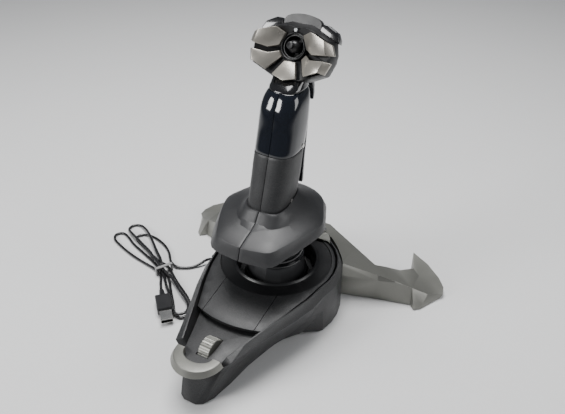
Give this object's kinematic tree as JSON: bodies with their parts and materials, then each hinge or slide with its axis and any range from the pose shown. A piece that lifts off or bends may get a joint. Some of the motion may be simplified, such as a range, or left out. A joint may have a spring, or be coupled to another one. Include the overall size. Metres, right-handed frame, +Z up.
{
  "type": "flight joystick",
  "caption": "Desk joystick with a twisting grip on a two-axis gimbal, face buttons, a small hat stick, trigger, throttle wheel, winged base and a bundled USB cord.",
  "frame": {"origin": "on the desk, where the stick's upright axis meets it", "axes": "+X to the user's right, +Y away from the user, +Z up"},
  "size_m": [0.3625, 0.27, 0.2777],
  "materials": {
    "charcoal_plastic": "fine grained, matte",
    "inner_plastic": "moulded, plain",
    "gloss_black": "gloss, blue-black",
    "silver_paint": "satin silver paint",
    "steel": "plain",
    "rubber": "satin",
    "circuit": "solder mask",
    "cord_tie": "coated wire",
    "lens": "clear"
  },
  "bodies": {
    "base": {"base_shell": "charcoal_plastic", "top_cover": "charcoal_plastic", "collar_ring": "charcoal_plastic", "well_housing": "inner_plastic", "throttle_deck": "charcoal_plastic", "nose_arch": "silver_paint", "wing_right": "silver_paint", "wing_left": "silver_paint", "base_plate": "inner_plastic", "rubber_feet": "rubber", "ballast": "steel", "circuit_board": "circuit", "gimbal_post": "inner_plastic", "base_sensors": "inner_plastic", "wheel_axle": "steel", "wheel_ears": "inner_plastic", "centring_spring": "steel", "wing_screws": "steel", "cord_relief": "rubber", "cord": "rubber", "cord_hank": "rubber", "cord_tie": "cord_tie", "plug_overmould": "rubber", "plug_shell": "steel"},
    "cross": {"gimbal_cross": "inner_plastic"},
    "stick": {"stick_yoke": "inner_plastic", "dust_ball": "inner_plastic", "skirt": "charcoal_plastic", "boot": "rubber", "stick_shaft": "steel", "roll_sensor": "inner_plastic"},
    "grip": {"twist_hub": "inner_plastic", "twist_sensor": "inner_plastic", "rest_right": "charcoal_plastic", "rest_left": "charcoal_plastic", "grip_lower_right": "charcoal_plastic", "grip_lower_left": "charcoal_plastic", "grip_upper_right": "gloss_black", "grip_upper_left": "gloss_black", "grip_screws": "steel", "neck": "inner_plastic", "head_front": "charcoal_plastic", "head_back": "charcoal_plastic", "hat_bezel": "gloss_black", "led_lens": "lens", "visor": "charcoal_plastic", "finger_pins": "steel", "finger_mounts": "inner_plastic"},
    "trigger": {"trigger": "gloss_black"},
    "lever": {"grip_lever": "gloss_black"},
    "hat_frame": {"hat_ring": "inner_plastic"},
    "hat_stick": {"hat": "rubber"},
    "wheel": {"throttle_wheel": "silver_paint"},
    "shoulder_right": {"shoulder_right": "charcoal_plastic"},
    "shoulder_left": {"shoulder_left": "charcoal_plastic"},
    "button_upper_right": {"button_upper_right": "silver_paint"},
    "button_upper_left": {"button_upper_left": "silver_paint"},
    "button_lower_right": {"button_lower_right": "silver_paint"},
    "button_lower_left": {"button_lower_left": "silver_paint"},
    "button_bottom": {"button_bottom": "silver_paint"}
  },
  "joints": [
    {"name": "stick_pitch", "type": "hinge", "parent": "base", "child": "cross", "pos_m": [0, 0, 0.034], "axis": [1, 0, 0], "range_deg": [-15, 15], "stiffness_Nm_per_rad": 2.5},
    {"name": "stick_roll", "type": "hinge", "parent": "cross", "child": "stick", "pos_m": [0, 0, 0.034], "axis": [0, 1, 0], "range_deg": [-15, 15], "stiffness_Nm_per_rad": 2.5},
    {"name": "stick_twist", "type": "hinge", "parent": "stick", "child": "grip", "pos_m": [0, 0, 0.1], "axis": [0, 0, 1], "range_deg": [-12, 12], "stiffness_Nm_per_rad": 0.6},
    {"name": "throttle_turn", "type": "hinge", "parent": "base", "child": "wheel", "pos_m": [0, -0.1176, 0.0315], "axis": [1, 0, 0], "range_deg": [-40, 40]},
    {"name": "trigger_pull", "type": "hinge", "parent": "grip", "child": "trigger", "pos_m": [0, 0.0482, 0.2272], "axis": [-1, 0, 0], "range_deg": [0, 10], "stiffness_Nm_per_rad": 0.6, "springref_deg": -5.73},
    {"name": "lever_press", "type": "hinge", "parent": "grip", "child": "lever", "pos_m": [0, 0.0395, 0.2062], "axis": [-1, 0, 0], "range_deg": [0, 5], "stiffness_Nm_per_rad": 0.8, "springref_deg": -5.73},
    {"name": "press_upper_right", "type": "slide", "parent": "grip", "child": "button_upper_right", "axis": [0, 0.8988, -0.4384], "range_m": [0, 0.0008], "stiffness_N_per_m": 700, "springref_m": -0.0006},
    {"name": "press_upper_left", "type": "slide", "parent": "grip", "child": "button_upper_left", "axis": [0, 0.8988, -0.4384], "range_m": [0, 0.0008], "stiffness_N_per_m": 700, "springref_m": -0.0006},
    {"name": "press_lower_right", "type": "slide", "parent": "grip", "child": "button_lower_right", "axis": [0, 0.8988, -0.4384], "range_m": [0, 0.0008], "stiffness_N_per_m": 700, "springref_m": -0.0006},
    {"name": "press_lower_left", "type": "slide", "parent": "grip", "child": "button_lower_left", "axis": [0, 0.8988, -0.4384], "range_m": [0, 0.0008], "stiffness_N_per_m": 700, "springref_m": -0.0006},
    {"name": "press_bottom", "type": "slide", "parent": "grip", "child": "button_bottom", "axis": [0, 0.8988, -0.4384], "range_m": [0, 0.0008], "stiffness_N_per_m": 700, "springref_m": -0.0006},
    {"name": "hat_x", "type": "hinge", "parent": "grip", "child": "hat_frame", "pos_m": [0, 0.03989, 0.25187], "axis": [1, 0, 0], "range_deg": [-12, 12], "stiffness_Nm_per_rad": 0.02},
    {"name": "hat_y", "type": "hinge", "parent": "hat_frame", "child": "hat_stick", "pos_m": [0, 0.03989, 0.25187], "axis": [0, 0.4384, 0.8988], "range_deg": [-12, 12], "stiffness_Nm_per_rad": 0.02},
    {"name": "press_shoulder_right", "type": "slide", "parent": "grip", "child": "shoulder_right", "axis": [-0.4122, -0.3994, -0.8189], "range_m": [0, 0.0008], "stiffness_N_per_m": 600, "springref_m": -0.0006},
    {"name": "press_shoulder_left", "type": "slide", "parent": "grip", "child": "shoulder_left", "axis": [0.4122, -0.3994, -0.8189], "range_m": [0, 0.0008], "stiffness_N_per_m": 600, "springref_m": -0.0006}
  ]
}
